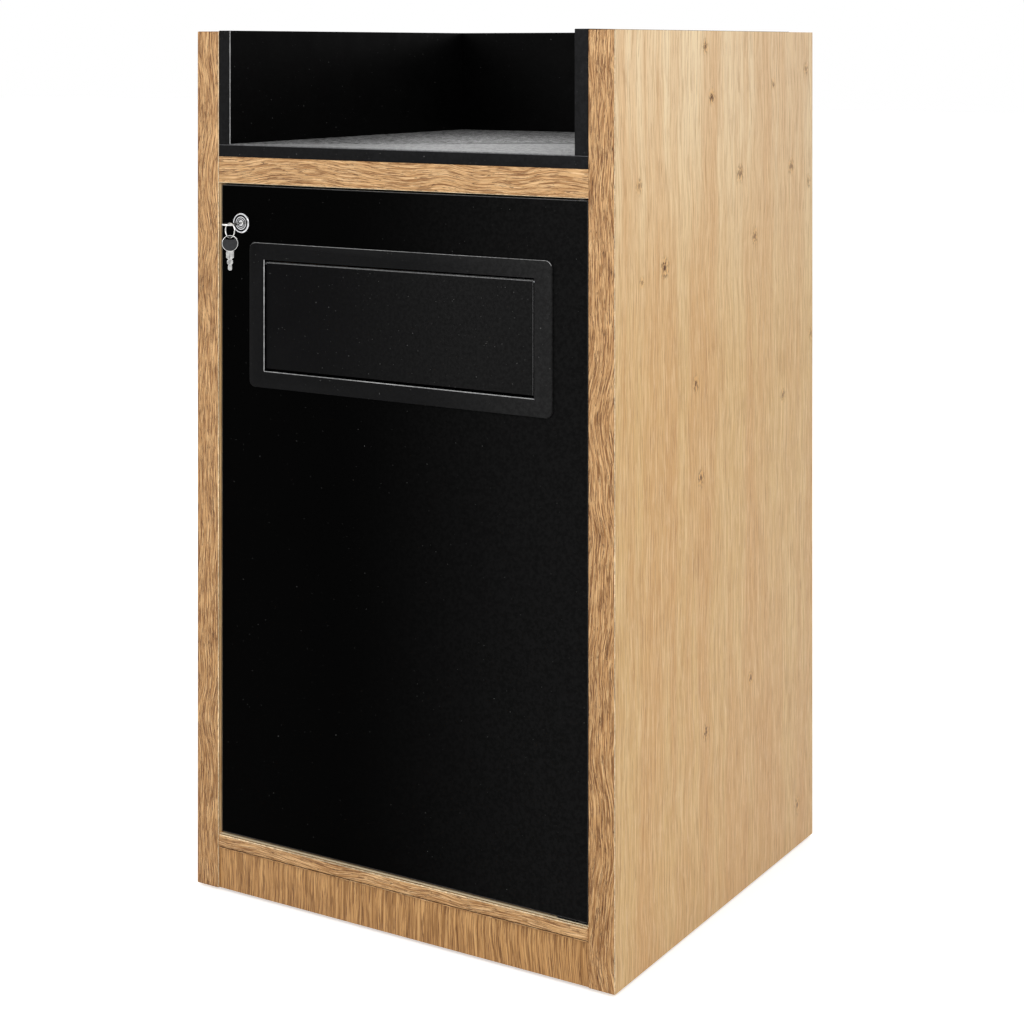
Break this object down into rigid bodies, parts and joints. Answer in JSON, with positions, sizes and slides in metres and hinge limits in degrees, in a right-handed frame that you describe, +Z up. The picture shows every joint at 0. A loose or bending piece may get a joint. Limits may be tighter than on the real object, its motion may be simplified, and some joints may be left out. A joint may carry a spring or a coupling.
{
  "type": "tray top trash cabinet",
  "caption": "Oak-faced waste cabinet with a walled tray shelf on top, a lockable black door with an inward push flap, and a lift-out bin inside.",
  "frame": {"origin": "on the floor, in the middle of the box that cabinet and hanging keys cover together; the front plane of the cabinet is at Y = -0.2605 m", "axes": "+Z up, +Y from the door towards the back, +X to the right of someone who faces the door"},
  "size_m": [0.6, 0.589, 1.08],
  "materials": {
    "oak_panel": "wood-grain laminate, matt",
    "oak_edging": "printed wood-grain edging, fine matt",
    "oak_kick": "wood-grain laminate, matt",
    "black_board": "black melamine, satin",
    "tray_laminate": "dark textured laminate, matt",
    "black_edging": "black edging, satin",
    "black_plastic": "moulded black plastic, fine texture",
    "small_plastic": "moulded plastic",
    "rubber": "soft black rubber",
    "nylon": "natural nylon",
    "beech": "plain sanded wood",
    "zinc_steel": "zinc-plated",
    "lock_chrome": "polished plating",
    "key_nickel": "bright nickel",
    "key_cover": "dark moulded key head",
    "bin_plastic": "grey moulded plastic, matt"
  },
  "bodies": {
    "carcass": {"left_side_panel": "oak_panel", "right_side_panel": "oak_panel", "left_front_edging": "oak_edging", "right_front_edging": "oak_edging", "top_panel": "oak_panel", "top_rail_edging": "oak_edging", "tray_shelf": "black_board", "tray_surface": "tray_laminate", "left_tray_liner": "black_board", "right_tray_liner": "black_board", "back_panel": "black_board", "back_panel_screws": "zinc_steel", "floor_panel": "oak_panel", "floor_panel_edging": "oak_edging", "kick_board": "oak_kick", "rear_kick_board": "oak_panel", "glue_blocks": "beech", "floor_glides": "small_plastic", "bin_cleats": "beech", "door_stop_rail": "black_board", "door_bumpers": "rubber", "strike_bracket": "zinc_steel", "strike_screws": "zinc_steel", "top_pivot_plate": "zinc_steel", "bottom_pivot_plate": "zinc_steel", "pivot_plate_screws": "zinc_steel", "panel_dowels": "beech", "cam_housings": "zinc_steel", "cam_bolts": "zinc_steel"},
    "door": {"door_panel": "black_board", "door_edging": "black_edging", "pivot_bushes": "nylon", "flap_bezel": "black_plastic", "bezel_retainer": "black_plastic", "retainer_screws": "zinc_steel", "lock_body": "lock_chrome", "lock_nut": "zinc_steel"},
    "push_flap": {"flap": "black_plastic", "flap_pins": "zinc_steel"},
    "lock_cylinder": {"lock_plug": "lock_chrome", "lock_cam": "zinc_steel", "cam_screw": "zinc_steel"},
    "key": {"key_blade": "key_nickel", "key_head": "key_cover"},
    "ring_and_spare_key": {"key_ring": "key_nickel", "spare_key_blade": "key_nickel", "spare_key_head": "key_cover"},
    "bin": {"waste_bin": "bin_plastic"}
  },
  "joints": [
    {"name": "door_swing", "type": "hinge", "parent": "carcass", "child": "door", "pos_m": [0.2545, -0.25102, 0.48], "axis": [0, 0, 1], "range_deg": [0, 105]},
    {"name": "flap_swing", "type": "hinge", "parent": "door", "child": "push_flap", "pos_m": [0, -0.25602, 0.791], "axis": [1, 0, 0], "range_deg": [0, 75]},
    {"name": "lock_turn", "type": "hinge", "parent": "door", "child": "lock_cylinder", "pos_m": [-0.2315, -0.25702, 0.8395], "axis": [0, 1, 0], "range_deg": [0, 90]},
    {"name": "key_draw", "type": "slide", "parent": "lock_cylinder", "child": "key", "axis": [0, -1, 0], "range_m": [0, 0.026]},
    {"name": "ring_hang", "type": "hinge", "parent": "key", "child": "ring_and_spare_key", "pos_m": [-0.2315, -0.28822, 0.8395], "axis": [0, 1, 0], "range_deg": [-90, 0]},
    {"name": "bin_lift", "type": "slide", "parent": "carcass", "child": "bin", "axis": [0, 0, 1], "range_m": [0, 0.02]}
  ],
  "couplings": [
    {"joint": "ring_hang", "follows": "lock_turn", "ratio": -1}
  ]
}
